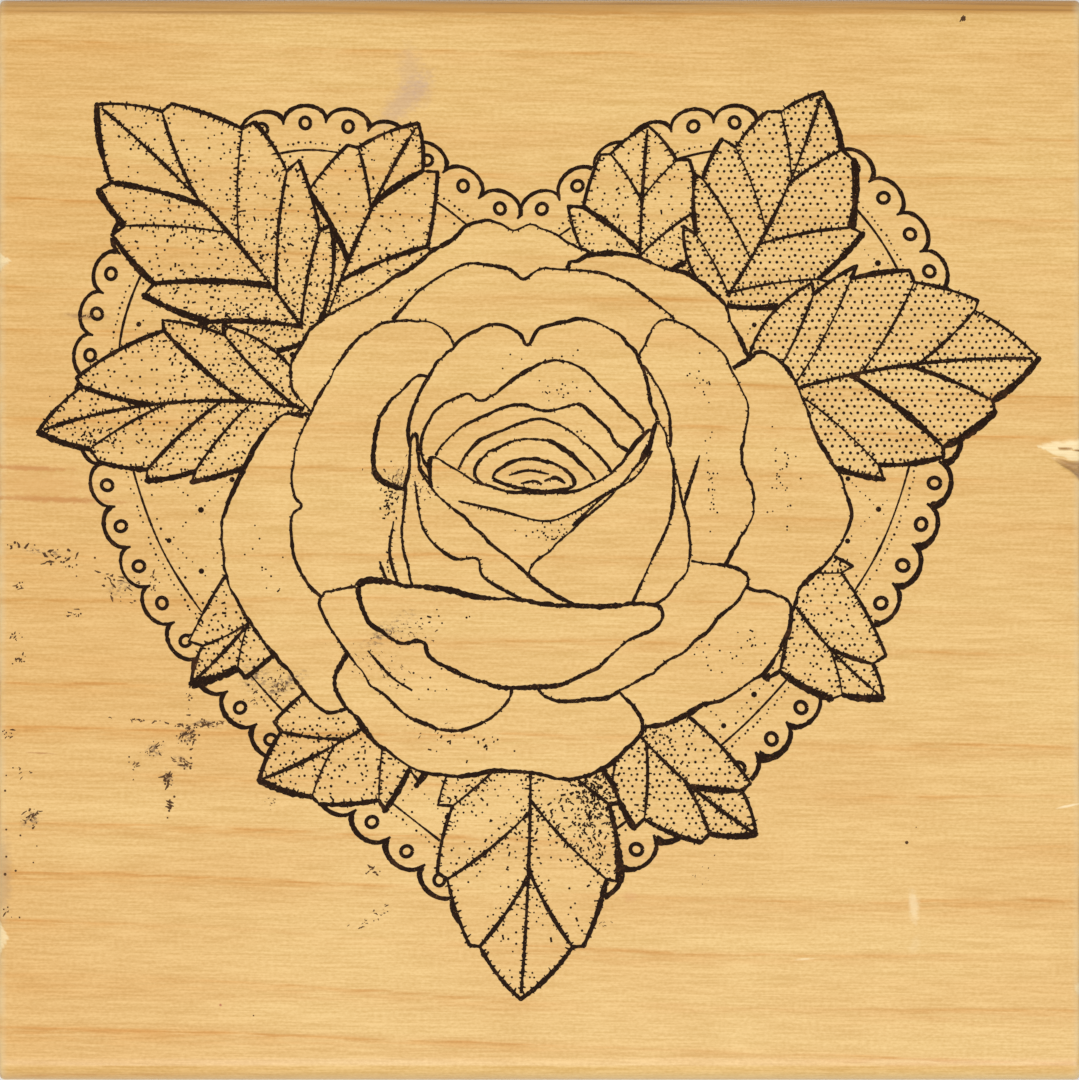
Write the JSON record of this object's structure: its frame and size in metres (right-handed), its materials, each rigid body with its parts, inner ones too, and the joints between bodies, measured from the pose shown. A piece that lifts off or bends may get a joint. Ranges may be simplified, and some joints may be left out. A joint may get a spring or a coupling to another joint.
{
  "type": "rubber stamp",
  "caption": "Square wood-mounted craft stamp: moulded maple block, foam cushion and a trimmed rubber die with a raised flower design.",
  "frame": {"origin": "middle of the block's footprint, on the plane of the printing face", "axes": "+X along the wood's grain, +Y to the top of the design, +Z from the printing face up to the block's top"},
  "size_m": [0.092, 0.092, 0.0248],
  "materials": {
    "maple": "clear lacquer, satin",
    "index_ink": "printed ink, matte",
    "foam": "closed-cell foam, matte",
    "adhesive": "dried adhesive film",
    "die_rubber": "moulded red rubber, satin"
  },
  "bodies": {
    "root": {"wood_block": "maple", "block_adhesive_film": "adhesive", "foam_cushion": "foam", "die_adhesive_film": "adhesive", "rubber_die": "die_rubber"}
  },
  "joints": []
}
